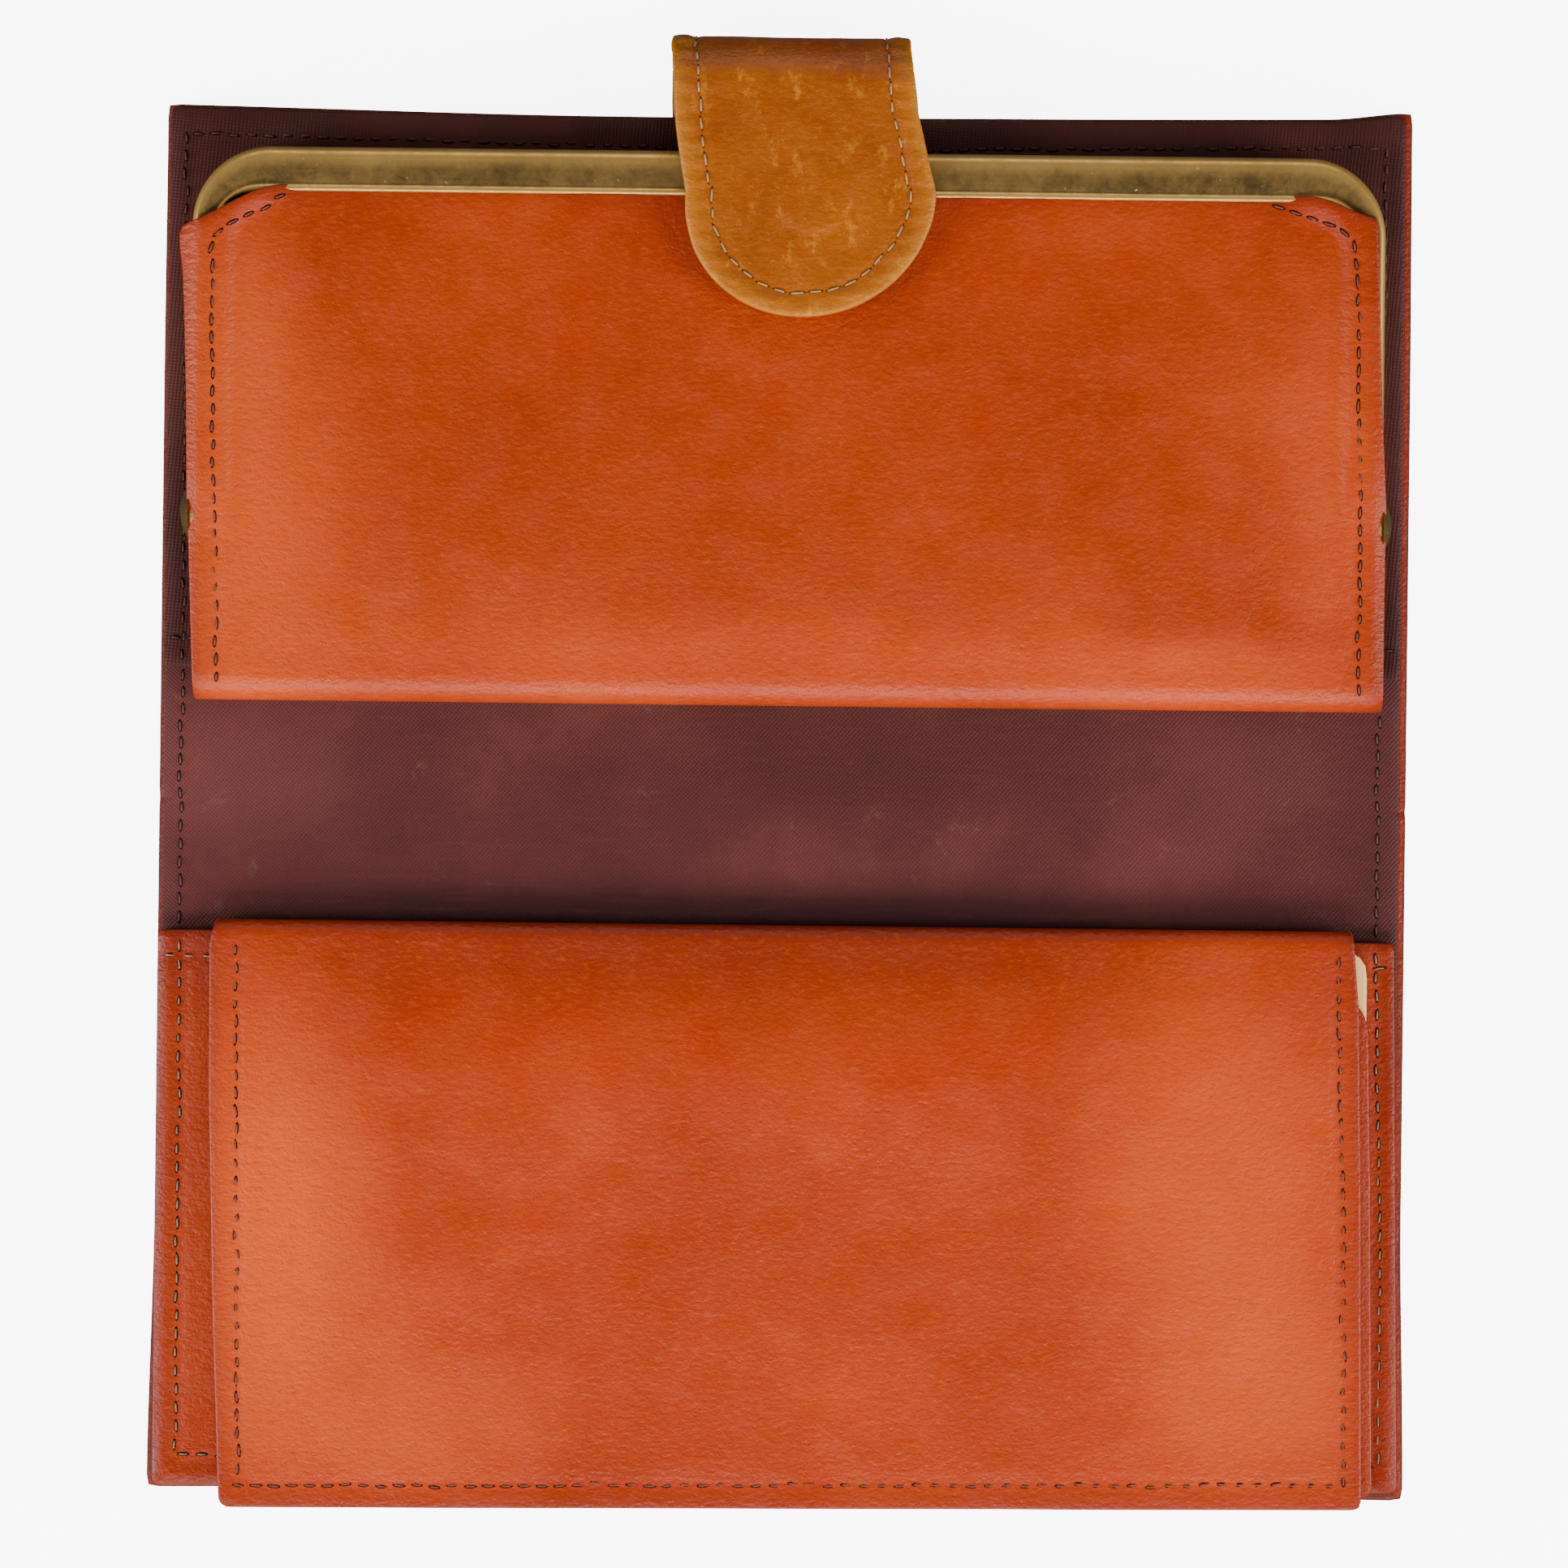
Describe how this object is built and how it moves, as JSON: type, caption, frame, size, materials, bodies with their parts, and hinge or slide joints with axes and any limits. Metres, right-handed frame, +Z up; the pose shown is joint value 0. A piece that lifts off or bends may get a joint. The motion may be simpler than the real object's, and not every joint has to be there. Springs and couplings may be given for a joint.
{
  "type": "long wallet",
  "caption": "Long leather wallet, open flat, with a clasp-frame coin purse, bill pockets, a turning card folder with an insert, and a snap tab that wraps the edge.",
  "frame": {"origin": "centre of the outline at the level of the table, the wallet lying open and flat", "axes": "+X along the spine to the right, +Y towards the closing tab, +Z up from the table"},
  "size_m": [0.19, 0.2224, 0.017],
  "materials": {
    "cover_leather": "worn satin",
    "purse_leather": "worn satin",
    "folder_leather": "worn satin",
    "tab_leather": "worn satin",
    "tab_lining": "matte",
    "twill_lining": "matte",
    "pocket_fabric": "matte",
    "board": "matte",
    "frame_brass": "aged",
    "insert_card": "matte",
    "snap_metal": "aged"
  },
  "bodies": {
    "rear_half": {"outer_cover_rear": "cover_leather", "stiffener_rear": "board", "lining_rear": "twill_lining", "bill_pocket_rear": "pocket_fabric", "purse_back_panel": "purse_leather", "purse_lining_back": "twill_lining", "purse_front_lower": "purse_leather", "purse_front_flex": "purse_leather", "purse_gusset_left": "purse_leather", "purse_gusset_right": "purse_leather", "frame_rear_jaw": "frame_brass", "hinge_rivet_left": "frame_brass", "hinge_rivet_right": "frame_brass", "kiss_ball_rear": "frame_brass", "tab_base_leather": "tab_leather", "tab_base_lining": "tab_lining"},
    "front_jaw": {"frame_front_jaw": "frame_brass", "kiss_ball_front": "frame_brass", "purse_front_upper": "purse_leather", "purse_lining_front": "twill_lining"},
    "spine": {"outer_cover_spine": "cover_leather", "lining_spine": "twill_lining"},
    "front_half": {"outer_cover_front": "cover_leather", "stiffener_front": "board", "lining_front": "twill_lining", "bill_pocket_front": "purse_leather", "snap_stud": "snap_metal", "snap_post": "snap_metal", "folder_back_leaf": "folder_leather", "folder_fold": "folder_leather"},
    "folder_leaf": {"folder_front_leaf": "folder_leather", "folder_leaf_pocket": "folder_leather"},
    "insert": {"insert_card": "insert_card"},
    "tab_riser": {"tab_riser_leather": "tab_leather", "tab_riser_lining": "tab_lining"},
    "tab_crown": {"tab_crown_leather": "tab_leather", "tab_crown_lining": "tab_lining"},
    "tab_shoulder": {"tab_shoulder_leather": "tab_leather", "tab_shoulder_lining": "tab_lining"},
    "tab_flap": {"tab_flap_leather": "tab_leather", "tab_flap_lining": "tab_lining", "snap_socket": "snap_metal", "snap_socket_back": "snap_metal"}
  },
  "joints": [
    {"name": "cover_fold_rear", "type": "hinge", "parent": "rear_half", "child": "spine", "pos_m": [0, 0.00455, 0.0038], "axis": [-1, 0, 0], "range_deg": [0, 90]},
    {"name": "cover_fold_front", "type": "hinge", "parent": "spine", "child": "front_half", "pos_m": [0, -0.01495, 0.0038], "axis": [-1, 0, 0], "range_deg": [0, 90]},
    {"name": "frame_hinge", "type": "hinge", "parent": "rear_half", "child": "front_jaw", "pos_m": [0, 0.0381, 0.0092], "axis": [-1, 0, 0], "range_deg": [-50, 0], "deforming": ["purse_front_flex", "purse_gusset_left", "purse_gusset_right"]},
    {"name": "tab_wrap", "type": "hinge", "parent": "rear_half", "child": "tab_riser", "pos_m": [0, 0.10205, 0.00165], "axis": [1, 0, 0], "range_deg": [0, 66.96]},
    {"name": "tab_crown_bend", "type": "hinge", "parent": "tab_riser", "child": "tab_crown", "pos_m": [0, 0.11063, 0.0053], "axis": [1, 0, 0], "range_deg": [-119.92, 0]},
    {"name": "tab_back", "type": "hinge", "parent": "tab_crown", "child": "tab_shoulder", "pos_m": [0, 0.11063, 0.0117], "axis": [1, 0, 0], "range_deg": [-150, 0]},
    {"name": "tab_flap_level", "type": "hinge", "parent": "tab_shoulder", "child": "tab_flap", "pos_m": [0, 0.09732, 0.01535], "axis": [1, 0, 0], "range_deg": [0, 52.96]},
    {"name": "leaf_fold", "type": "hinge", "parent": "front_half", "child": "folder_leaf", "pos_m": [0, -0.0238, 0.0065], "axis": [1, 0, 0], "range_deg": [-150, 0], "deforming": ["folder_fold"]},
    {"name": "insert_slide", "type": "slide", "parent": "front_half", "child": "insert", "axis": [-1, 0, 0], "range_m": [-0.15, 0]}
  ],
  "couplings": [
    {"joint": "cover_fold_front", "follows": "cover_fold_rear", "ratio": 1},
    {"joint": "tab_back", "follows": "frame_hinge", "ratio": 3},
    {"joint": "tab_crown_bend", "follows": "tab_wrap", "ratio": -1.7905},
    {"joint": "tab_flap_level", "follows": "tab_wrap", "ratio": 0.7905}
  ]
}
